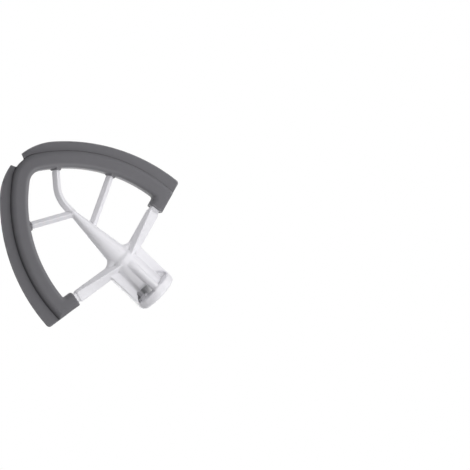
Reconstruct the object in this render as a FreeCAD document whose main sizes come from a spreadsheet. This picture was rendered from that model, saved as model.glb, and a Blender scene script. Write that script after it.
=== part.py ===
import FreeCAD, Part
import math
import os
from collections import namedtuple

import Sketcher

# A stand mixer's flat beater: a coated casting with a soft wiping edge moulded round its rim.
# The origin is the centre of the shaft bore's mouth, on top of the hub. Z runs up along the bore, X runs across
# the blade, and the front of the blade faces -Y. Lengths are millimetres and angles are degrees.
SIZES = {
    # Hub: a cap on a tube, which tapers below to the spine.
    "hub_radius": 16.0,
    "hub_height": 38.0,
    "cap_height": 6.7,
    "cap_round": 2.5,
    "taper_height": 3.0,
    "taper_foot_radius": 7.0,
    # Bore for the mixer's shaft, in the tube.
    "shaft_diameter": 12.7,
    "bore_clearance": 0.3,
    "bore_depth": 30.0,
    "tube_wall": 3.0,
    # Ribs before and behind the tube, which fall back to it below, and a flange on each side of it.
    "rib_thickness": 5.4,
    "rib_inset": 0.3,
    "rib_straight_drop": 12.0,
    "rib_foot_drop": 32.5,
    "flange_thickness": 7.4,
    "flange_inset": 0.3,
    # Recesses under the cap in the flanges, each with a ramp for its floor.
    "recess_lip": 0.9,
    "recess_lip_height": 1.4,
    "ramp_drop": 7.2,
    "deep_recess_web": 2.6,
    "shallow_recess_depth": 1.2,
    # Bayonet for the pin across the shaft: entry slot, passage under a hook, and lock.
    "pin_slot_width": 4.4,
    "pin_reach": 12.0,
    "passage_height": 6.2,
    "lock_angle": 15.0,
    "hook_angle": 62.0,
    "hook_spread": 20.0,
    "hook_drop": 2.0,
    # Spine: a cone of oval section, with a flare that runs out from its sides under the arms.
    "spine_top_drop": 40.5,
    "spine_top_width": 16.6,
    "spine_top_depth": 16.0,
    "spine_foot_width": 4.4,
    "spine_foot_depth": 8.4,
    "spine_foot_drop": 86.3,
    "flare_radius": 5.2,
    "flare_depth": 11.0,
    "flare_sink": 0.6,
    # Arms: ridged bars that fall away from the hub, each with a smaller neck that enters its sleeve.
    "arm_root_drop": 34.2,
    "arm_slope": 12.0,
    "arm_length": 42.4,
    "arm_height": 9.3,
    "arm_root_depth": 18.4,
    "arm_end_depth": 10.0,
    "arm_ridge_drop": 3.4,
    "parting_land": 2.0,
    "neck_step": 0.9,
    "neck_length": 2.8,
    # Struts: ridged bars from the spine to the rim.
    "strut_height": 5.4,
    "strut_depth": 8.0,
    "strut_neck_step": 0.4,
    "strut_neck_length": 0.8,
    "upper_strut_drop": 68.0,
    "upper_strut_slope": 22.2,
    "lower_strut_drop": 85.0,
    "lower_strut_slope": 30.8,
    "tip_strut_drop": 100.3,
    "tip_strut_slope": 46.1,
    "tip_strut_bend": 24.0,
    # Rim: a bar bowed round the tip, hidden in the soft edge.
    "rim_reach": 130.8,
    "rim_tip_radius": 15.7,
    "rim_side_radius": 109.7,
    "rim_turn": 34.5,
    "rim_width": 6.0,
    "rim_depth": 6.0,
    # Soft edge: a tube round the rim, sleeves on the arms, collars on the struts, and two fins.
    "edge_width": 12.0,
    "edge_depth": 12.0,
    "edge_round": 3.5,
    "sleeve_height": 11.0,
    "sleeve_corner_round": 1.5,
    "collar_wall": 0.9,
    "collar_reach": 1.4,
    "fin_reach": 140.7,
    "fin_tip_radius": 42.7,
    "fin_side_radius": 131.6,
    "fin_turn": 41.8,
    "fin_rise": 0.5,
    "fin_thickness": 2.6,
    "fin_corner_round": 2.5,
    "fin_lip_round": 1.0,
    "fin_edge_half_gap": 5.6,
    "fin_root_half_gap": 1.6,
}

BORE_RADIUS = "((size.shaft_diameter + size.bore_clearance) / 2)"
TUBE_RADIUS = f"({BORE_RADIUS} + size.tube_wall)"
HALF_EDGE = "(size.edge_width / 2)"
HALF_RIM = "(size.rim_width / 2)"
SLEEVE_RISE = "(size.sleeve_height / 2 / cos(size.arm_slope))"
SLEEVE_START = "(size.arm_length + size.neck_length)"

# The flare under the arms is a quarter round in this many straight steps.
FLARE_STEPS = 4
# Two places nearer than this are the same place.
TOUCH = 0.01

# A corner of an outline, with the radius and the turn of the arc that leads to the next corner, if it is one.
Corner = namedtuple("Corner", "x y radius turn", defaults=(None, None))

doc = FreeCAD.newDocument("flat_beater")
sheet = doc.addObject("Spreadsheet::Sheet", "size")
for row, (name, number) in enumerate(SIZES.items(), start=1):
    sheet.set(f"A{row}", name)
    sheet.set(f"B{row}", str(number))
    sheet.setAlias(f"B{row}", name)
doc.recompute()


def value(expression):
    """What an expression on the size sheet comes to."""
    return float(sheet.evalExpression(expression))


def minus(expression):
    return f"(-{expression})"


class BowedLine:
    """A line bowed round the tip: an arc at the tip and an arc up each side, which meet smoothly."""

    def __init__(self, name):
        self.turn = f"size.{name}_turn"
        self.tip = f"size.{name}_tip_radius"
        self.side = f"size.{name}_side_radius"
        self.tip_z = f"({self.tip} - size.{name}_reach)"
        shift = f"({self.side} - {self.tip})"
        self.side_x = f"(-{shift} * sin({self.turn}))"
        self.side_z = f"({self.tip_z} + {shift} * cos({self.turn}))"

    def join(self, outset="0"):
        """Where the tip arc ends and the +X side arc starts, on the line moved outward by outset."""
        radius = f"({self.tip} + {outset})"
        return f"({radius} * sin({self.turn}))", f"({self.tip_z} - {radius} * cos({self.turn}))"

    def near_tip(self, x):
        """The place on the tip arc at a small distance from the axis."""
        return x, f"({self.tip_z} - sqrt({self.tip}^2 - {x}^2))"

    def meet(self, drop, slope, outset="0"):
        """Where the +X side arc meets a straight line that leaves the axis at a drop and falls at a slope."""
        rise = f"(-{drop} - {self.side_z})"
        middle = f"({self.side_x} + tan({slope}) * {rise})"
        square = f"(1 + tan({slope})^2)"
        rest = f"({self.side_x}^2 + {rise}^2 - ({self.side} + {outset})^2)"
        x = f"(({middle} + sqrt({middle}^2 - {square} * {rest})) / {square})"
        return x, f"(-{drop} - {x} * tan({slope}))"

    def reach(self, drop, slope, outset="0"):
        """How far along such a straight line that place lies."""
        return f"({self.meet(drop, slope, outset)[0]} / cos({slope}))"

    def round_tip(self, top, outset="0"):
        """Corners from a place on the +X side, round the tip, to the like place on the -X side."""
        side = f"({self.side} + {outset})"
        join_x, join_z = self.join(outset)
        return [
            Corner(*top, side, "right"),
            Corner(join_x, join_z, f"({self.tip} + {outset})", "right"),
            Corner(minus(join_x), join_z, side, "right"),
            Corner(minus(top[0]), top[1]),
        ]


def turned_back(corners):
    """The same corners and arcs taken from the other end."""
    arcs = [(corner.radius, corner.turn) for corner in corners[:-1]]
    back = {"right": "left", "left": "right", None: None}
    edges = [(radius, back[turn]) for radius, turn in reversed(arcs)] + [(None, None)]
    return [Corner(corner.x, corner.y, *edge) for corner, edge in zip(reversed(corners), edges)]


RIM = BowedLine("rim")
FIN = BowedLine("fin")


def origin_feature(body, role):
    return next(feature for feature in body.Origin.OriginFeatures if feature.Role == role)


def sketch_on(body, name, role, lift="0"):
    """An empty sketch on one of the body's origin planes, or lifted off it along its normal."""
    sketch = body.newObject("Sketcher::SketchObject", name)
    sketch.AttachmentSupport = (origin_feature(body, role), [""])
    sketch.MapMode = "FlatFace"
    sketch.setExpression("AttachmentOffset.Base.z", lift)
    return sketch


def section_sketch(body, name, drop, slope, along):
    """A sketch square to a bar that leaves the axis at a drop and falls at a slope, some way along the bar."""
    sketch = sketch_on(body, name, "YZ_Plane", f"({along}) * cos({slope})")
    tilt = FreeCAD.Rotation(FreeCAD.Vector(1, 0, 0), value(slope))
    sketch.AttachmentOffset = FreeCAD.Placement(FreeCAD.Vector(), tilt)
    sketch.setExpression("AttachmentOffset.Base.y", f"-{drop} - ({along}) * sin({slope})")
    sketch.setExpression("AttachmentOffset.Rotation.Angle", slope)
    return sketch


def arc_between(start, end, radius, turn):
    """The lesser arc from start to end that turns left or right."""
    chord = end - start
    sideways = FreeCAD.Vector(-chord.y, chord.x, 0).normalize()
    side = 1 if turn == "left" else -1
    centre = (start + end) * 0.5 + sideways * side * math.sqrt(radius ** 2 - (chord.Length / 2) ** 2)
    first, last = (start, end) if turn == "left" else (end, start)
    first_angle = math.atan2(first.y - centre.y, first.x - centre.x)
    last_angle = math.atan2(last.y - centre.y, last.x - centre.x)
    if last_angle < first_angle:
        last_angle += 2 * math.pi
    return Part.ArcOfCircle(Part.Circle(centre, FreeCAD.Vector(0, 0, 1), radius), first_angle, last_angle)


def bind(sketch, kind, *target_and_expression):
    """A sketch dimension that follows an expression on the size sheet."""
    *target, expression = target_and_expression
    index = sketch.addConstraint(Sketcher.Constraint(kind, *target, value(expression)))
    sketch.setExpression(f"Constraints[{index}]", expression)


def draw(sketch, corners, closed=True):
    """Draw an outline through the corners, with each corner and radius bound to the size sheet."""
    places = [FreeCAD.Vector(value(corner.x), value(corner.y), 0) for corner in corners]
    edge_count = len(corners) if closed else len(corners) - 1
    ends = []
    for index in range(edge_count):
        corner = corners[index]
        start = places[index]
        end = places[(index + 1) % len(places)]
        if corner.radius is None:
            edge = sketch.addGeometry(Part.LineSegment(start, end), False)
        else:
            edge = sketch.addGeometry(arc_between(start, end, value(corner.radius), corner.turn), False)
            bind(sketch, "Radius", edge, corner.radius)
        ends.append((edge, 2, 1) if corner.turn == "right" else (edge, 1, 2))
    for index, (edge, first, last) in enumerate(ends):
        bind(sketch, "DistanceX", edge, first, corners[index].x)
        bind(sketch, "DistanceY", edge, first, corners[index].y)
        if closed or index + 1 < edge_count:
            next_edge, next_first, _ = ends[(index + 1) % edge_count]
            sketch.addConstraint(Sketcher.Constraint("Coincident", edge, last, next_edge, next_first))
        else:
            bind(sketch, "DistanceX", edge, last, corners[-1].x)
            bind(sketch, "DistanceY", edge, last, corners[-1].y)


def draw_circle(sketch, radius):
    edge = sketch.addGeometry(Part.Circle(FreeCAD.Vector(), FreeCAD.Vector(0, 0, 1), value(radius)), False)
    sketch.addConstraint(Sketcher.Constraint("Coincident", edge, 3, -1, 1))
    bind(sketch, "Radius", edge, radius)


def draw_oval(sketch, width, depth):
    """An oval round the axis, of four arcs that meet smoothly where an ellipse crosses its diagonals."""
    across = f"sqrt({width}^2 + {depth}^2)"
    spare = f"(2 * ({width} + {depth} - {across}))"
    end = f"({across} * ({across} - {width}) / {spare})"
    side = f"({across} * ({across} - {depth}) / {spare})"
    x, y = f"({side} * {depth} / {across})", f"({end} * {width} / {across})"
    draw(sketch, [
        Corner(x, minus(y), end, "left"),
        Corner(x, y, side, "left"),
        Corner(minus(x), y, end, "left"),
        Corner(minus(x), minus(y), side, "left"),
    ])


def draw_sector(sketch, radius, first_angle, last_angle):
    """A slice of a disc. Angles are counted from the front, -Y, towards +X."""
    def rim_corner(angle, *arc):
        return Corner(f"({radius} * sin({angle}))", f"(-{radius} * cos({angle}))", *arc)

    draw(sketch, [Corner("0", "0"), rim_corner(first_angle, radius, "left"), rim_corner(last_angle)])


def draw_ridged(sketch, height, depth, ridge="0", trim="0"):
    """A bar's section: lands along the parting line above and below, and a ridge in front and behind."""
    top = f"({height} / 2 - {trim})"
    side = f"({depth} / 2 - {trim})"
    land = "(size.parting_land / 2)"
    draw(sketch, [
        Corner(land, top),
        Corner(minus(land), top),
        Corner(minus(side), ridge),
        Corner(minus(land), minus(top)),
        Corner(land, minus(top)),
        Corner(side, ridge),
    ])


def pad(body, name, sketch, length, both_ways=False, backwards=False):
    feature = body.newObject("PartDesign::Pad", name)
    feature.Profile = sketch
    feature.setExpression("Length", length)
    feature.SideType = "Symmetric" if both_ways else "One side"
    feature.Reversed = backwards
    doc.recompute()
    return feature


def pocket(body, name, sketch, length, along_normal=False):
    """Cut a sketch into the body, and make sure that it took something away."""
    before = body.Shape.Volume
    feature = body.newObject("PartDesign::Pocket", name)
    feature.Profile = sketch
    feature.setExpression("Length", length)
    feature.Reversed = along_normal
    doc.recompute()
    if feature.Shape.Volume >= before:
        raise RuntimeError(f"{name} cuts nothing")
    return feature


def loft(body, name, first, *others):
    feature = body.newObject("PartDesign::AdditiveLoft", name)
    feature.Profile = (first, [""])
    feature.Sections = [(sketch, [""]) for sketch in others]
    feature.Ruled = True
    doc.recompute()
    return feature


def mirror_across(body, name, features):
    """Repeat features on the other side of the blade."""
    feature = body.newObject("PartDesign::Mirrored", name)
    feature.Originals = features
    feature.MirrorPlane = (origin_feature(body, "YZ_Plane"), [""])
    body.Tip = feature
    doc.recompute()
    return feature


def repeat_behind(body, name, features):
    """Repeat features half a turn round the bore."""
    feature = body.newObject("PartDesign::PolarPattern", name)
    feature.Originals = features
    feature.Axis = (origin_feature(body, "Z_Axis"), [""])
    feature.Angle = 360
    feature.Occurrences = 2
    body.Tip = feature
    doc.recompute()
    return feature


def round_edges(body, name, wanted, radius):
    """Round the edges of the body that a test picks out."""
    base = body.Tip
    names = [f"Edge{index}" for index, edge in enumerate(base.Shape.Edges, start=1) if wanted(edge)]
    feature = body.newObject("PartDesign::Fillet", name)
    feature.Base = (base, names)
    feature.setExpression("Radius", radius)
    doc.recompute()
    return feature


def add_hub(body):
    """The cap, the tube and its taper, with the ribs and the flanges that hold the cap up."""
    ceiling = minus("size.cap_height")
    tube_foot = minus("size.hub_height")
    profile = sketch_on(body, "hub_profile", "XZ_Plane")
    draw(profile, [
        Corner("0", "0"),
        Corner("(size.hub_radius - size.cap_round)", "0", "size.cap_round", "right"),
        Corner("size.hub_radius", minus("size.cap_round")),
        Corner("size.hub_radius", ceiling),
        Corner(TUBE_RADIUS, ceiling),
        Corner(TUBE_RADIUS, tube_foot),
        Corner("size.taper_foot_radius", f"({tube_foot} - size.taper_height)"),
        Corner("0", f"({tube_foot} - size.taper_height)"),
    ])
    turned = body.newObject("PartDesign::Revolution", "cap_and_tube")
    turned.Profile = profile
    turned.ReferenceAxis = (profile, ["V_Axis"])
    turned.Angle = 360
    doc.recompute()

    rib = "(size.hub_radius - size.rib_inset)"
    rib_outline = sketch_on(body, "rib_outline", "YZ_Plane")
    draw(rib_outline, [
        Corner(minus(rib), ceiling),
        Corner(minus(rib), minus("size.rib_straight_drop")),
        Corner(minus(BORE_RADIUS), minus("size.rib_foot_drop")),
        Corner(BORE_RADIUS, minus("size.rib_foot_drop")),
        Corner(rib, minus("size.rib_straight_drop")),
        Corner(rib, ceiling),
    ])
    pad(body, "ribs", rib_outline, "size.rib_thickness", both_ways=True)
    flange = "(size.hub_radius - size.flange_inset)"
    flange_outline = sketch_on(body, "flange_outline", "XZ_Plane")
    draw(flange_outline, [
        Corner(minus(flange), ceiling),
        Corner(minus(flange), tube_foot),
        Corner(flange, tube_foot),
        Corner(flange, ceiling),
    ])
    pad(body, "flanges", flange_outline, "size.flange_thickness", both_ways=True)

    half_flange = "(size.flange_thickness / 2)"
    deep = add_recess(body, "deep_recess", f"(size.deep_recess_web - {half_flange})", "1")
    repeat_behind(body, "deep_recesses", [deep])
    add_recess(body, "shallow_recess", f"({half_flange} - size.shallow_recess_depth)", "-1")


def add_recess(body, name, floor, side):
    """A recess in the front of the flange on one side of the tube, from its back wall forward."""
    ceiling = minus("size.cap_height")
    tube = f"({side} * {TUBE_RADIUS})"
    lip = f"({side} * (size.hub_radius - size.flange_inset - size.recess_lip))"
    outline = sketch_on(body, f"{name}_outline", "XZ_Plane", floor)
    draw(outline, [
        Corner(tube, ceiling),
        Corner(lip, ceiling),
        Corner(lip, f"({ceiling} - size.recess_lip_height)"),
        Corner(tube, f"({ceiling} - size.ramp_drop)"),
    ])
    return pocket(body, name, outline, "size.flange_thickness", along_normal=True)


def add_bore(body):
    """The blind bore for the shaft, with the entry slot, the passage and the hook for its pin."""
    bore_circle = sketch_on(body, "bore_circle", "XY_Plane")
    draw_circle(bore_circle, BORE_RADIUS)
    pocket(body, "bore", bore_circle, "size.bore_depth")

    half_slot = "(size.pin_slot_width / 2)"
    entry_outline = sketch_on(body, "entry_outline", "XY_Plane")
    draw(entry_outline, [
        Corner("0", minus(half_slot)),
        Corner("size.pin_reach", minus(half_slot)),
        Corner("size.pin_reach", half_slot),
        Corner("0", half_slot),
    ])
    pocket(body, "pin_entry", entry_outline, "(size.cap_height + size.passage_height)")
    passage_outline = sketch_on(body, "passage_outline", "XY_Plane", minus("size.cap_height"))
    draw_sector(passage_outline, "size.pin_reach", "size.lock_angle", "90")
    pocket(body, "pin_passage", passage_outline, "size.passage_height")

    hook_outline = sketch_on(body, "hook_outline", "XY_Plane", minus("size.cap_height"))
    start, end = "(size.hook_angle - size.hook_spread / 2)", "(size.hook_angle + size.hook_spread / 2)"
    draw(hook_outline, [
        Corner(f"({BORE_RADIUS} * sin({start}))", f"(-{BORE_RADIUS} * cos({start}))"),
        Corner(f"({TUBE_RADIUS} * sin({start}))", f"(-{TUBE_RADIUS} * cos({start}))", TUBE_RADIUS, "left"),
        Corner(f"({TUBE_RADIUS} * sin({end}))", f"(-{TUBE_RADIUS} * cos({end}))"),
        Corner(f"({BORE_RADIUS} * sin({end}))", f"(-{BORE_RADIUS} * cos({end}))", BORE_RADIUS, "right"),
    ])
    pad(body, "pin_hook", hook_outline, "size.hook_drop", backwards=True)


def spine_size(kind, drop):
    """The spine's width or depth at a drop. Its sides are straight."""
    share = f"(({drop} - size.spine_top_drop) / (size.spine_foot_drop - size.spine_top_drop))"
    return f"(size.spine_top_{kind} + (size.spine_foot_{kind} - size.spine_top_{kind}) * {share})"


def add_spine(body):
    """The spine, and the flare by which its sides sweep out under the arms."""
    sections = []
    for name, drop in (("spine_root", "size.hub_height"), ("spine_foot", "size.spine_foot_drop")):
        section = sketch_on(body, name, "XY_Plane", minus(drop))
        draw_oval(section, spine_size("width", drop), spine_size("depth", drop))
        sections.append(section)
    loft(body, "spine", *sections)

    # The flare starts under the arm, where the arm's lower side passes the flare's widest place.
    reach = "(size.spine_top_width / 2 + size.flare_radius)"
    under_arm = f"(size.arm_root_drop + size.arm_height / 2 / cos(size.arm_slope) + {reach} * tan(size.arm_slope))"
    sections = [flare_section(body, "flare_root", "size.hub_height", "90")]
    for step in range(FLARE_STEPS + 1):
        angle = f"({90 * (FLARE_STEPS - step) / FLARE_STEPS})"
        drop = f"({under_arm} + size.flare_radius * (1 - sin({angle})))"
        sections.append(flare_section(body, f"flare_{step}", drop, angle))
    loft(body, "spine_flare", *sections)


def flare_section(body, name, drop, angle):
    """The flare's oval at a drop: it ends inside the spine and grows past its sides by a share of its radius."""
    past = f"(size.flare_radius * (1 - cos({angle})) - size.flare_sink)"
    sketch = sketch_on(body, name, "XY_Plane", minus(drop))
    draw_oval(sketch, f"({spine_size('width', drop)} + 2 * {past})", "size.flare_depth")
    return sketch


def add_arms(body):
    """Two arms, each with the neck that runs on through its sleeve to the rim."""
    drop, slope = "size.arm_root_drop", "size.arm_slope"
    ridge = minus("size.arm_ridge_drop")
    root = section_sketch(body, "arm_root", drop, slope, "0")
    draw_ridged(root, "size.arm_height", "size.arm_root_depth")
    end = section_sketch(body, "arm_end", drop, slope, "size.arm_length")
    draw_ridged(end, "size.arm_height", "size.arm_end_depth", ridge)
    arm = loft(body, "arm", root, end)
    neck_section = section_sketch(body, "arm_neck_section", drop, slope, "size.arm_length")
    draw_ridged(neck_section, "size.arm_height", "size.arm_end_depth", ridge, "size.neck_step")
    neck = pad(body, "arm_neck", neck_section, f"({RIM.reach(drop, slope, HALF_RIM)} - size.arm_length)")
    mirror_across(body, "arms", [arm, neck])


def strut_shoulder(drop, slope):
    """How far along a strut its neck starts, just short of its collar."""
    return f"({collar_start(drop, slope)} - size.strut_neck_length)"


def collar_start(drop, slope):
    return f"({RIM.reach(drop, slope, minus(HALF_EDGE))} - size.collar_reach)"


def add_straight_strut(body, name, drop, slope, bearing):
    """A strut from the spine's axis to the rim. Its bearing is its slope, or 180 less that on the -X side."""
    shoulder = strut_shoulder(drop, slope)
    section = section_sketch(body, f"{name}_section", drop, bearing, "0")
    draw_ridged(section, "size.strut_height", "size.strut_depth")
    pad(body, name, section, shoulder)
    add_strut_neck(body, name, drop, slope, bearing)


def add_strut_neck(body, name, drop, slope, bearing):
    shoulder = strut_shoulder(drop, slope)
    section = section_sketch(body, f"{name}_neck_section", drop, bearing, shoulder)
    draw_ridged(section, "size.strut_height", "size.strut_depth", trim="size.strut_neck_step")
    pad(body, f"{name}_neck", section, f"({RIM.reach(drop, slope)} - {shoulder})")


def add_tip_strut(body):
    """The strut that runs on from the spine's foot and bends away to the -X side of the rim."""
    drop, slope = "size.tip_strut_drop", "size.tip_strut_slope"
    bend = "size.tip_strut_bend"
    tangent = f"({bend} * tan(45 - {slope} / 2))"
    shoulder = strut_shoulder(drop, slope)
    path = sketch_on(body, "tip_strut_path", "XZ_Plane")
    draw(path, [
        Corner("0", minus("size.lower_strut_drop")),
        Corner("0", f"({tangent} - {drop})", bend, "right"),
        Corner(f"(-{tangent} * cos({slope}))", f"(-{drop} - {tangent} * sin({slope}))"),
        Corner(f"(-{shoulder} * cos({slope}))", f"(-{drop} - {shoulder} * sin({slope}))"),
    ], closed=False)
    section = sketch_on(body, "tip_strut_section", "XY_Plane", minus("size.lower_strut_drop"))
    half_height, half_depth, land = "(size.strut_height / 2)", "(size.strut_depth / 2)", "(size.parting_land / 2)"
    draw(section, [
        Corner(half_height, minus(land)),
        Corner(half_height, land),
        Corner("0", half_depth),
        Corner(minus(half_height), land),
        Corner(minus(half_height), minus(land)),
        Corner("0", minus(half_depth)),
    ])
    strut = body.newObject("PartDesign::AdditivePipe", "tip_strut")
    strut.Profile = section
    strut.Spine = path
    doc.recompute()
    add_strut_neck(body, "tip_strut", drop, slope, f"(180 - {slope})")


def add_rim(body):
    drop, slope = "size.arm_root_drop", "size.arm_slope"
    outline = sketch_on(body, "rim_outline", "XZ_Plane")
    outside = RIM.round_tip(RIM.meet(drop, slope, HALF_RIM), HALF_RIM)
    inside = RIM.round_tip(RIM.meet(drop, slope, minus(HALF_RIM)), minus(HALF_RIM))
    draw(outline, outside + turned_back(inside))
    pad(body, "rim", outline, "size.rim_depth", both_ways=True)


def make_cast_frame():
    body = doc.addObject("PartDesign::Body", "cast_frame")
    body.Label = "cast_frame"
    body.Placement = FreeCAD.Placement()
    add_hub(body)
    add_spine(body)
    add_arms(body)
    add_straight_strut(body, "upper_strut", "size.upper_strut_drop", "size.upper_strut_slope",
                       "(180 - size.upper_strut_slope)")
    add_straight_strut(body, "lower_strut", "size.lower_strut_drop", "size.lower_strut_slope",
                       "size.lower_strut_slope")
    add_tip_strut(body)
    add_rim(body)
    add_bore(body)
    return body


def sleeve_corner(rise):
    """A corner of the +X sleeve's end, above or below the arm's middle line."""
    x = f"({SLEEVE_START} * cos(size.arm_slope) + {rise} * sin(size.arm_slope))"
    z = f"(-size.arm_root_drop - {SLEEVE_START} * sin(size.arm_slope) + {rise} * cos(size.arm_slope))"
    return x, z


def add_edge_tube(body):
    """The tube round the rim with its two sleeves, one outline with its front and back edges rounded."""
    half_sleeve = "(size.sleeve_height / 2)"
    top_drop = f"(size.arm_root_drop - {SLEEVE_RISE})"
    low_drop = f"(size.arm_root_drop + {SLEEVE_RISE})"
    outside = RIM.round_tip(RIM.meet(top_drop, "size.arm_slope", HALF_EDGE), HALF_EDGE)
    inside = RIM.round_tip(RIM.meet(low_drop, "size.arm_slope", minus(HALF_EDGE)), minus(HALF_EDGE))
    top_x, top_z = sleeve_corner(half_sleeve)
    low_x, low_z = sleeve_corner(minus(half_sleeve))
    outline = sketch_on(body, "edge_outline", "XZ_Plane")
    draw(outline, outside + [Corner(minus(top_x), top_z), Corner(minus(low_x), low_z)] + turned_back(inside)
         + [Corner(low_x, low_z), Corner(top_x, top_z)])
    pad(body, "edge_tube", outline, "size.edge_depth", both_ways=True)

    corner_x, corner_z = (value(place) for place in RIM.meet(low_drop, "size.arm_slope", minus(HALF_EDGE)))

    def in_inner_corner(edge):
        middle = edge.CenterOfMass
        return math.hypot(abs(middle.x) - corner_x, middle.z - corner_z) < TOUCH and abs(middle.y) < TOUCH

    round_edges(body, "sleeve_corners", in_inner_corner, "size.sleeve_corner_round")

    half_depth = value("size.edge_depth / 2")
    end_x = (value(top_x) + value(low_x)) / 2
    end_z = (value(top_z) + value(low_z)) / 2

    def along_front_or_back(edge):
        middle = edge.CenterOfMass
        at_sleeve_end = math.hypot(abs(middle.x) - end_x, middle.z - end_z) < TOUCH
        return abs(abs(middle.y) - half_depth) < TOUCH and not at_sleeve_end

    round_edges(body, "edge_rounding", along_front_or_back, "size.edge_round")


def add_fins(body):
    """Two thin fins that stand out from the tube and a little above it, with a gap between them at the tip."""
    top_drop = f"(size.arm_root_drop - {SLEEVE_RISE} - size.fin_rise)"
    top = FIN.meet(top_drop, "size.arm_slope")
    outline = sketch_on(body, "fin_outline", "XZ_Plane")
    draw(outline, [
        Corner(*top, FIN.side, "right"),
        Corner(*FIN.join(), FIN.tip, "right"),
        Corner(*FIN.near_tip("size.fin_edge_half_gap")),
        Corner(*RIM.near_tip("size.fin_root_half_gap"), RIM.tip, "left"),
        Corner(*RIM.join(), RIM.side, "left"),
        Corner(*RIM.meet(top_drop, "size.arm_slope")),
    ])
    fin = pad(body, "fin", outline, "size.fin_thickness", both_ways=True)
    mirror_across(body, "fins", [fin])

    corner_x, corner_z = (value(place) for place in top)

    def at_top_corner(edge):
        middle = edge.CenterOfMass
        return math.hypot(abs(middle.x) - corner_x, middle.z - corner_z) < TOUCH and abs(middle.y) < TOUCH

    round_edges(body, "fin_corners", at_top_corner, "size.fin_corner_round")

    half_fin = value("size.fin_thickness / 2")

    def along_lip(edge):
        middle = edge.valueAt((edge.FirstParameter + edge.LastParameter) / 2)
        return abs(abs(middle.y) - half_fin) < TOUCH and on_fin_line(abs(middle.x), middle.z)

    round_edges(body, "fin_lips", along_lip, "size.fin_lip_round")


def on_fin_line(x, z):
    """Whether a place lies on one of the two arcs of the fins' outer line."""
    off_side = math.hypot(x - value(FIN.side_x), z - value(FIN.side_z)) - value(FIN.side)
    off_tip = math.hypot(x, z - value(FIN.tip_z)) - value(FIN.tip)
    return min(abs(off_side), abs(off_tip)) < TOUCH


def add_collar(body, name, drop, slope, bearing):
    """A collar round a strut's end, grown from the tube."""
    start = collar_start(drop, slope)
    section = section_sketch(body, f"{name}_section", drop, bearing, start)
    draw_ridged(section, "size.strut_height", "size.strut_depth", trim=minus("size.collar_wall"))
    pad(body, name, section, f"({RIM.reach(drop, slope)} - {start})")


def make_silicone_edge(frame):
    body = doc.addObject("PartDesign::Body", "edge_form")
    add_edge_tube(body)
    add_fins(body)
    add_collar(body, "upper_collar", "size.upper_strut_drop", "size.upper_strut_slope",
               "(180 - size.upper_strut_slope)")
    add_collar(body, "lower_collar", "size.lower_strut_drop", "size.lower_strut_slope", "size.lower_strut_slope")
    add_collar(body, "tip_collar", "size.tip_strut_drop", "size.tip_strut_slope", "(180 - size.tip_strut_slope)")
    edge = doc.addObject("Part::Cut", "silicone_edge")
    edge.Label = "silicone_edge"
    edge.Base = body
    edge.Tool = frame
    edge.Placement = FreeCAD.Placement()
    doc.recompute()
    return edge


cast_frame = make_cast_frame()
silicone_edge = make_silicone_edge(cast_frame)
doc.recompute()

for item in doc.Objects:
    if "Invalid" in item.State or "Error" in item.State:
        raise RuntimeError(f"{item.Label} failed: {item.State}")
os.makedirs("parts", exist_ok=True)
for node in (cast_frame, silicone_edge):
    if node.Shape.isNull() or not node.Shape.isValid():
        raise RuntimeError(f"{node.Label} has no valid shape")
for node in (cast_frame, silicone_edge):
    node.Shape.exportStep(f"parts/{node.Label}.step")
    print(node.Label, "solids", len(node.Shape.Solids), "volume", round(node.Shape.Volume))
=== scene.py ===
import math

import bpy
from mathutils import Matrix, Vector


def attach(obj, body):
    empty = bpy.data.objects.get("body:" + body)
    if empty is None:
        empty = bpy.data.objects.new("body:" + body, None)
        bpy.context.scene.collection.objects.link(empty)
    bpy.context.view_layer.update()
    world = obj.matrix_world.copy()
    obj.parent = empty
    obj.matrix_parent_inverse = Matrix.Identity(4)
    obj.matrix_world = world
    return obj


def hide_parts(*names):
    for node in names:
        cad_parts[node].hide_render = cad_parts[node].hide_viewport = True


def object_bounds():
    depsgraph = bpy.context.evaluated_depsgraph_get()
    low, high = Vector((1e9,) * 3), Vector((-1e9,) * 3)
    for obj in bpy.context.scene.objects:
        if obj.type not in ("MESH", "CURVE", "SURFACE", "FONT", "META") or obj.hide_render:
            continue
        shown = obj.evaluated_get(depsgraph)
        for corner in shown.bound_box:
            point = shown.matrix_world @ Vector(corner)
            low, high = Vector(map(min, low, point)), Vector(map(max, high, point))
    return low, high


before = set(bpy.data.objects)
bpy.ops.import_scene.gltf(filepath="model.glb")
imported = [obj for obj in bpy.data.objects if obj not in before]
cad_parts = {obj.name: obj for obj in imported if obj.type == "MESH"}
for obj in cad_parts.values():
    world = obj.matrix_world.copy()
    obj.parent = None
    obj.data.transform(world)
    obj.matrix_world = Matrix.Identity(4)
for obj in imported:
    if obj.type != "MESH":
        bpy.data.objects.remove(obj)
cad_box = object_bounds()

# A stand mixer's flat beater: a coated casting with a soft wiping edge moulded round its rim.
# The scene is in metres, in the CAD's frame: the bore's mouth is the origin, Z runs up the bore, the front
# faces -Y. Sizes on the part are written in millimetres and turned into metres where they are used.
MILLIMETRE = 0.001

# The net of cells that each piece's surface is drawn on, and the passes that soften it.
CASTING_CELL = 0.52
CASTING_PASSES = 4
EDGE_CELL = 0.51
EDGE_PASSES = 2
FILLET_PASSES = 9
SLEEVE_PASSES = 14

# The coating, from where it is drawn thin over a wave to where it pools, and what shows through it, with a
# painted shade for its hollows and a darker painted shade for the hub's deep recesses.
COAT_DRAWN = (0.795, 0.787, 0.825)
COAT_POOLED = (0.845, 0.837, 0.872)
COAT_RUBBED = (0.70, 0.70, 0.71)
COAT_HOLLOW_SHADE = (0.52, 0.515, 0.535)
COAT_PIT = (0.45, 0.44, 0.45)
COAT_RECESS_SHADE = (0.085, 0.085, 0.09)
METAL_DARK = (0.55, 0.55, 0.56)
METAL_LIGHT = (0.66, 0.66, 0.67)
TURNING_PITCH = 0.24
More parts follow.
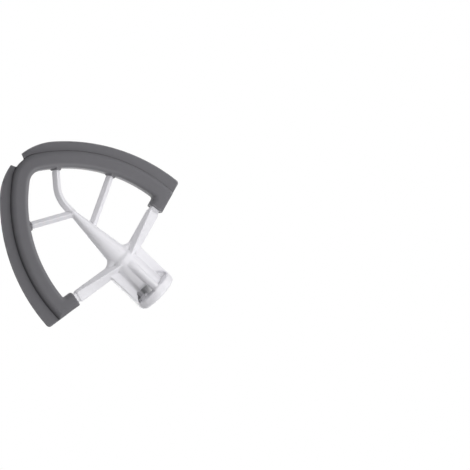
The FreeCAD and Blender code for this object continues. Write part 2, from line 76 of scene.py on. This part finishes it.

# The silicone's skin, with wear and painted highlight on its edges, painted light on its inner side and painted
# shade in its hollows and grooves, and the point in the blade that its sides face towards or away from.
SKIN_DARK = (0.114, 0.112, 0.122)
SKIN_LIGHT = (0.132, 0.130, 0.141)
SKIN_CLOUD = (0.140, 0.138, 0.150)
SKIN_RUBBED_AND_HIGHLIT = (0.225, 0.222, 0.235)
SKIN_INNER_LIGHT = (0.215, 0.212, 0.225)
SKIN_HOLLOW_SHADE = (0.030, 0.029, 0.032)
SKIN_GROOVE_SHADE = (0.022, 0.021, 0.024)
EDGE_MIDDLE = (0.0, 0.0, -0.055)

# The photograph's view: angles in degrees, and the lens by its focal length in pixels of the picture.
IMAGE_WIDTH = 470
FOCAL_PIXELS = 1253.53
SENSOR_WIDTH = 36.0
CAMERA_ANGLES = (17.877, -11.839, 134.419)
CAMERA_PLACE = Vector((0.207396, -0.869647, -0.177132))

# Each lamp's name, direction from the point it is aimed at, distance, width and power in watts.
LAMPS = [
    ("front", (-0.17, -0.94, 0.29), 0.8, 0.5, 1.5),
    ("left", (-0.80, -0.55, 0.25), 0.55, 0.35, 0.72),
    ("top", (0.0, -0.47, 0.88), 0.8, 0.5, 2.2),
    ("back", (0.10, 0.92, 0.38), 0.9, 0.6, 2.4),
]
LAMP_AIM = Vector((0.0, 0.0, -0.07))
ROOM_LIGHT = 0.21
WHITE = (1.0, 1.0, 1.0, 1.0)
FLOOR_HALF_WIDTH = 2.0
FLOOR_GAP = 0.5


class Signal:
    """A socket whose value can be used in a Python expression. Each operator adds a Math node."""

    def __init__(self, finish, socket):
        self.finish = finish
        self.socket = socket

    def __add__(self, other):
        return self.finish.maths("ADD", self, other)

    def __sub__(self, other):
        return self.finish.maths("SUBTRACT", self, other)

    def __rsub__(self, other):
        return self.finish.maths("SUBTRACT", other, self)

    def __mul__(self, other):
        return self.finish.maths("MULTIPLY", self, other)

    __radd__ = __add__
    __rmul__ = __mul__


class Finish:
    """A material in the making: its node tree and the one method that adds a node to it."""

    def __init__(self, owner):
        owner.use_nodes = True
        self.owner = owner
        self.tree = owner.node_tree
        self.tree.nodes.clear()

    def node(self, kind, settings, sockets):
        """Add a node, set its settings, then its sockets. Gives back its outputs as signals."""
        node = self.tree.nodes.new(kind)
        for name, setting in settings.items():
            setattr(node, name, setting)
        for name, value in sockets.items():
            if isinstance(value, Signal):
                self.tree.links.new(value.socket, node.inputs[name])
            else:
                node.inputs[name].default_value = value
        return [Signal(self, socket) for socket in node.outputs]

    def maths(self, operation, *values):
        return self.node("ShaderNodeMath", {"operation": operation}, dict(enumerate(values)))[0]

    def size_of(self, value):
        return self.maths("ABSOLUTE", value)

    def vectors(self, operation, *values):
        return self.node("ShaderNodeVectorMath", {"operation": operation}, dict(enumerate(values)))

    def place(self):
        """Where a point of the surface lies in the object, in metres."""
        return self.node("ShaderNodeTexCoord", {}, {})[3]

    def axes(self):
        """The three coordinates of that place."""
        return self.node("ShaderNodeSeparateXYZ", {}, {0: self.place()})

    def hollowness(self):
        """Below 0.5 in a hollow of the surface, above it on an edge."""
        return self.node("ShaderNodeNewGeometry", {}, {})[7]

    def facing_from(self, middle):
        """How squarely the surface faces away from a point in the object, from -1 to 1."""
        normal = self.node("ShaderNodeNewGeometry", {}, {})[1]
        away = self.vectors("SUBTRACT", self.place(), middle)[0]
        return self.vectors("DOT_PRODUCT", normal, self.vectors("NORMALIZE", away)[0])[1]

    def seen_directly(self):
        """1 for a ray from the camera, or one that a shiny or clear surface sends on, else 0."""
        rays = self.node("ShaderNodeLightPath", {}, {})
        return self.maths("MAXIMUM", rays[0], self.maths("MAXIMUM", rays[3], rays[6]))

    def noise(self, size, detail=2.0):
        """A soft noise between 0 and 1 whose spots are about this many millimetres wide."""
        sockets = {"Vector": self.place(), "Scale": 1 / (size * MILLIMETRE), "Detail": detail, "Roughness": 0.5}
        return self.node("ShaderNodeTexNoise", {}, sockets)[0]

    def ramp(self, value, low, high):
        """A mask that goes smoothly from 0 to 1 as a value goes from low to high."""
        sockets = {0: value, 1: low, 2: high, 3: 0.0, 4: 1.0}
        return self.node("ShaderNodeMapRange", {"interpolation_type": "SMOOTHSTEP"}, sockets)[0]

    def step(self, length, low, high):
        """The same for a length on the part, between two lengths in millimetres."""
        return self.ramp(length, low * MILLIMETRE, high * MILLIMETRE)

    def between(self, mask, low, high):
        """A colour that goes from low to high as a mask goes from 0 to 1."""
        ends = [end if isinstance(end, Signal) else (*end, 1.0) for end in (low, high)]
        settings = {"data_type": "RGBA", "clamp_factor": True}
        return self.node("ShaderNodeMix", settings, {0: mask, 6: ends[0], 7: ends[1]})[2]

    def mixed(self, mask, low, high):
        """A shader that goes from low to high as a mask goes from 0 to 1."""
        return self.node("ShaderNodeMixShader", {}, {0: mask, 1: low, 2: high})[0]

    def bump(self, height):
        """A surface normal tilted by a height in millimetres."""
        sockets = {"Height": height, "Distance": MILLIMETRE, "Strength": 1.0}
        return self.node("ShaderNodeBump", {}, sockets)[0]

    def shade(self, shader):
        self.node("ShaderNodeOutputMaterial", {}, {"Surface": shader})
        return self.owner


def painted_recess_shade(finish, x, y, z, radius):
    """Painted shade in the hub's deep recesses: the pin's lock, the pocket beside it and the crease below them.
    """
    aside, out = finish.size_of(x), finish.size_of(y)
    lock_side = finish.step(y * finish.maths("SIGN", x), 2.6, 2.3)
    below_cap = finish.step(z, -7.6, -8.4)
    above_ramp = finish.step(z, -16.5, -13)
    inside_flange = finish.step(radius, 15.2, 13.5)
    lock = finish.step(aside, 3.0, 3.3) * finish.step(aside, 7.7, 7.3)
    pocket = finish.step(radius, 9.7, 10.3) * finish.step(aside, 7.3, 7.7) * finish.step(out, 3.6, 3.2)
    recess = below_cap * above_ramp * inside_flange * (0.3 * lock + 0.85 * pocket)
    crease = finish.step(radius, 11.8, 9.8) * finish.step(aside, 6.8, 8.4)
    fading = finish.step(z, -30, -12) * below_cap
    return lock_side * finish.maths("MAXIMUM", recess, 0.4 * crease * fading)


def white_coating():
    """A satin coating on cast metal, with painted shade in its hollows and the hub's deep recesses, and the
    bore left as bare turned metal.
    """
    finish = Finish(bpy.data.materials.new("white_coating"))
    x, y, z = finish.axes()
    radius = finish.maths("SQRT", x * x + y * y)
    bare = finish.step(radius, 7.3, 6.9) * finish.step(z, -30.8, -30.4)
    # Painted shade in the hub's deep recesses, darkest in the pocket beside the pin's lock.
    recess_shade = painted_recess_shade(finish, x, y, z, radius)
    bend = finish.hollowness()
    pooling = finish.noise(9)
    waves = finish.noise(5, detail=1.0)
    peel = finish.noise(0.9, detail=1.0)
    pits = finish.ramp(finish.noise(0.45, detail=0.0), 0.82, 0.87)
    # Painted shade in the surface's hollows.
    hollow = finish.ramp(bend, 0.489, 0.470)
    rubbed = finish.ramp(bend, 0.52, 0.55) * finish.ramp(pooling, 0.4, 0.65)
    seam = finish.step(finish.size_of(y), 0.35, 0.1)
    turned = 0.5 + 0.5 * finish.maths("SINE", z * (2 * math.pi / (TURNING_PITCH * MILLIMETRE)))

    coat = finish.between(pooling, COAT_DRAWN, COAT_POOLED)
    coat = finish.between(0.5 * rubbed, coat, COAT_RUBBED)
    coat = finish.between(0.65 * hollow, coat, COAT_HOLLOW_SHADE)
    coat = finish.between(0.4 * pits, coat, COAT_PIT)
    coat = finish.between(0.93 * recess_shade, coat, COAT_RECESS_SHADE)
    metal = finish.between(turned, METAL_DARK, METAL_LIGHT)
    relief = 0.05 * waves + 0.016 * peel - 0.02 * pits + 0.03 * seam
    return finish.shade(finish.node("ShaderNodeBsdfPrincipled", {}, {
        "Base Color": finish.between(bare, coat, metal),
        "Metallic": bare,
        "Roughness": 0.34 + 0.1 * pooling + 0.12 * rubbed + 0.2 * recess_shade,
        "Normal": finish.bump((1 - bare) * relief + 0.004 * bare * turned),
    })[0])


def grey_silicone():
    """Matte moulded silicone: a fine even grain, faintly mottled, paler on its edges from wear and painted
    highlight, with painted light on its inner side and painted shade in its hollows and grooves.
    """
    finish = Finish(bpy.data.materials.new("grey_silicone"))
    _, y, z = finish.axes()
    off_middle = finish.size_of(y)
    facing = finish.facing_from(EDGE_MIDDLE)
    bend = finish.hollowness()
    mottle = finish.noise(5, detail=3.0)
    cloud = finish.noise(22)
    grain = finish.noise(0.35, detail=1.0)
    # Painted shade in the surface's hollows.
    hollow = finish.ramp(bend, 0.490, 0.460)
    # Wear and painted highlight on the edges, broken up by the mottle.
    rubbed = finish.ramp(bend, 0.51, 0.53) * finish.ramp(mottle, 0.25, 0.55)
    seam = finish.step(off_middle, 0.3, 0.08)
    # Painted shade in the groove where the fins leave the tube, on its side away from the blade's middle.
    beside_fin = finish.step(off_middle, 5.2, 1.5) * finish.step(off_middle, 1.3, 1.42)
    groove_shade = finish.ramp(facing, 0.45, 0.7) * beside_fin
    # Painted light on the side towards the blade's middle, most of all at the tip.
    painted_inner_light = finish.ramp(facing, 0.08, -0.35) * (0.4 + 0.6 * finish.step(z, -60, -115))

    skin = finish.between(mottle, SKIN_DARK, SKIN_LIGHT)
    skin = finish.between(0.35 * cloud, skin, SKIN_CLOUD)
    skin = finish.between(0.8 * rubbed, skin, SKIN_RUBBED_AND_HIGHLIT)
    skin = finish.between(0.3 * hollow, skin, SKIN_HOLLOW_SHADE)
    skin = finish.between(0.7 * painted_inner_light, skin, SKIN_INNER_LIGHT)
    skin = finish.between(0.92 * groove_shade, skin, SKIN_GROOVE_SHADE)
    return finish.shade(finish.node("ShaderNodeBsdfPrincipled", {}, {
        "Base Color": skin,
        "Roughness": 0.5 + 0.12 * mottle + 0.06 * grain,
        "IOR": 1.41,
        "Sheen Weight": 0.12,
        "Sheen Roughness": 0.45,
        "Normal": finish.bump(0.018 * grain + 0.04 * mottle + 0.05 * seam),
    })[0])


def studio_floor():
    """Pale matte card that runs out into the white backdrop. It is clear from below the blade's tip."""
    finish = Finish(bpy.data.materials.new("studio_floor"))
    x, y, _ = finish.axes()
    card = finish.node("ShaderNodeBsdfPrincipled", {}, {
        "Base Color": finish.between(finish.noise(30), (0.86, 0.86, 0.86), (0.88, 0.88, 0.88)),
        "Roughness": 0.85,
    })[0]
    white = finish.node("ShaderNodeEmission", {}, {"Color": WHITE, "Strength": 1.0})[0]
    clear = finish.node("ShaderNodeBsdfTransparent", {}, {})[0]
    far = finish.step(finish.maths("SQRT", x * x + y * y), 120, 600)
    from_below = finish.node("ShaderNodeNewGeometry", {}, {})[6]
    lit = finish.mixed(far * finish.seen_directly(), card, white)
    return finish.shade(finish.mixed(from_below, lit, clear))


def apply(piece, kind, settings):
    """Give a piece the mesh that one modifier makes of it."""
    modifier = piece.modifiers.new(kind, kind)
    for name, setting in settings.items():
        setattr(modifier, name, setting)
    seen = piece.evaluated_get(bpy.context.evaluated_depsgraph_get())
    mesh = bpy.data.meshes.new_from_object(seen)
    piece.modifiers.clear()
    piece.data = mesh


def softened(node, name, cell, passes):
    """A copy of a CAD node whose edges are softened, as a coating or a mould leaves them."""
    piece = bpy.data.objects.new(name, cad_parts[node].data.copy())
    bpy.context.scene.collection.objects.link(piece)
    apply(piece, "REMESH", {"mode": "VOXEL", "voxel_size": cell * MILLIMETRE, "use_smooth_shade": True})
    apply(piece, "SMOOTH", {"factor": 0.5, "iterations": passes})
    piece.data.name = name
    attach(piece, "root")
    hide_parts(node)
    return piece


def share(value, low, high):
    """How far a value has come from low to high, from 0 to 1."""
    return min(max((value - low) / (high - low), 0.0), 1.0)


def crown_ribs(casting):
    """Round the ribs before and behind the hub's tube, and let them run down to a blunt foot."""
    tube_radius, crown_half_width = 9.5, 3.1
    rib_top, rib_foot, rib_half_width = -7.4, -33, 2.75
    tube_front = 8.5
    crowned = {}
    for vertex in casting.data.vertices:
        across, out, up = vertex.co / MILLIMETRE
        if abs(across) > rib_half_width or not rib_foot < up < rib_top or abs(out) < tube_front:
            continue
        fullness = math.sqrt(1 - (across / crown_half_width) ** 2)
        rise = (5.3 - 2.5 * share(up, -9, -28)) * (1 - share(up, -20, rib_foot) ** 3)
        crown = math.sqrt(tube_radius ** 2 - across ** 2) + rise * fullness
        on_front = abs(across) < 2.2 or vertex.normal.y * math.copysign(1, out) > 0.4
        if (on_front and up < -8) or abs(out) > crown:
            crowned[vertex.index] = math.copysign(crown, out) * MILLIMETRE
    for index, place in crowned.items():
        casting.data.vertices[index].co.y = place


def smooth_where(piece, passes, weight_at):
    """Smooth a piece by a weight from 0 to 1 that depends on the place, in millimetres."""
    zone = piece.vertex_groups.new(name="zone")
    for vertex in piece.data.vertices:
        weight = weight_at(*vertex.co / MILLIMETRE)
        if weight:
            zone.add([vertex.index], weight, "REPLACE")
    apply(piece, "SMOOTH", {"factor": 0.5, "iterations": passes, "vertex_group": "zone"})
    piece.vertex_groups.clear()
    piece.data.name = piece.name


def hub_fillets(x, y, z):
    """The casting's fillets between the hub's cap and the spine."""
    return share(z, -8, -12) * share(z, -50, -44) * share(math.hypot(x, y), 24, 19)


def sleeve_tops(x, y, z):
    """The long edges on top of the sleeves, short of their corners."""
    arm_slope = math.radians(12)
    top = -28.6 - abs(x) * math.tan(arm_slope)
    return share(z, top - 4.5, top - 3) * share(abs(x), 45.5, 48.5) * share(abs(x), 71, 68)


def paint(piece, material):
    piece.data.materials.clear()
    piece.data.materials.append(material)


def add_camera():
    """The photograph's view, through a long lens from below the blade's tip."""
    lens = bpy.data.cameras.new("camera")
    lens.sensor_width = SENSOR_WIDTH
    lens.lens = FOCAL_PIXELS / IMAGE_WIDTH * lens.sensor_width
    lens.clip_end = 50.0
    camera = bpy.data.objects.new("camera", lens)
    azimuth, elevation, roll = (math.radians(angle) for angle in CAMERA_ANGLES)
    back = Vector((math.sin(azimuth) * math.cos(elevation),
                   -math.cos(azimuth) * math.cos(elevation),
                   math.sin(elevation)))
    level = Vector((math.cos(azimuth), math.sin(azimuth), 0.0))
    rise = back.cross(level)
    right = level * math.cos(roll) + rise * math.sin(roll)
    up = rise * math.cos(roll) - level * math.sin(roll)
    turn = Matrix((right, up, back)).transposed().to_4x4()
    camera.matrix_world = Matrix.Translation(CAMERA_PLACE) @ turn
    bpy.context.scene.collection.objects.link(camera)
    bpy.context.scene.camera = camera


def add_lamps():
    for name, direction, distance, width, power in LAMPS:
        lamp = bpy.data.lights.new(name, "AREA")
        lamp.shape = "DISK"
        lamp.size = width
        lamp.energy = power
        holder = bpy.data.objects.new(name, lamp)
        away = Vector(direction).normalized()
        holder.location = LAMP_AIM + away * distance
        holder.rotation_mode = "QUATERNION"
        holder.rotation_quaternion = away.to_track_quat("Z", "Y")
        bpy.context.scene.collection.objects.link(holder)


def add_world():
    """An even room light, in front of a white backdrop."""
    world = bpy.data.worlds.new("studio")
    bpy.context.scene.world = world
    finish = Finish(world)
    room = finish.node("ShaderNodeBackground", {}, {"Color": WHITE, "Strength": ROOM_LIGHT})[0]
    backdrop = finish.node("ShaderNodeBackground", {}, {"Color": WHITE, "Strength": 1.0})[0]
    mix = finish.mixed(finish.seen_directly(), room, backdrop)
    finish.node("ShaderNodeOutputWorld", {}, {"Surface": mix})


def add_floor():
    """A wide floor just under the blade's tip."""
    half = FLOOR_HALF_WIDTH
    height = cad_box[0][2] - FLOOR_GAP * MILLIMETRE
    mesh = bpy.data.meshes.new("floor")
    corners = [(-half, -half, height), (half, -half, height), (half, half, height), (-half, half, height)]
    mesh.from_pydata(corners, [], [(0, 1, 2, 3)])
    floor = bpy.data.objects.new("floor", mesh)
    bpy.context.scene.collection.objects.link(floor)
    paint(floor, studio_floor())


casting = softened("cast_frame", "casting", CASTING_CELL, CASTING_PASSES)
crown_ribs(casting)
smooth_where(casting, FILLET_PASSES, hub_fillets)
paint(casting, white_coating())
edge = softened("silicone_edge", "wiping_edge", EDGE_CELL, EDGE_PASSES)
smooth_where(edge, SLEEVE_PASSES, sleeve_tops)
paint(edge, grey_silicone())

add_camera()
add_lamps()
add_world()
add_floor()
bpy.context.scene.view_settings.view_transform = "Standard"
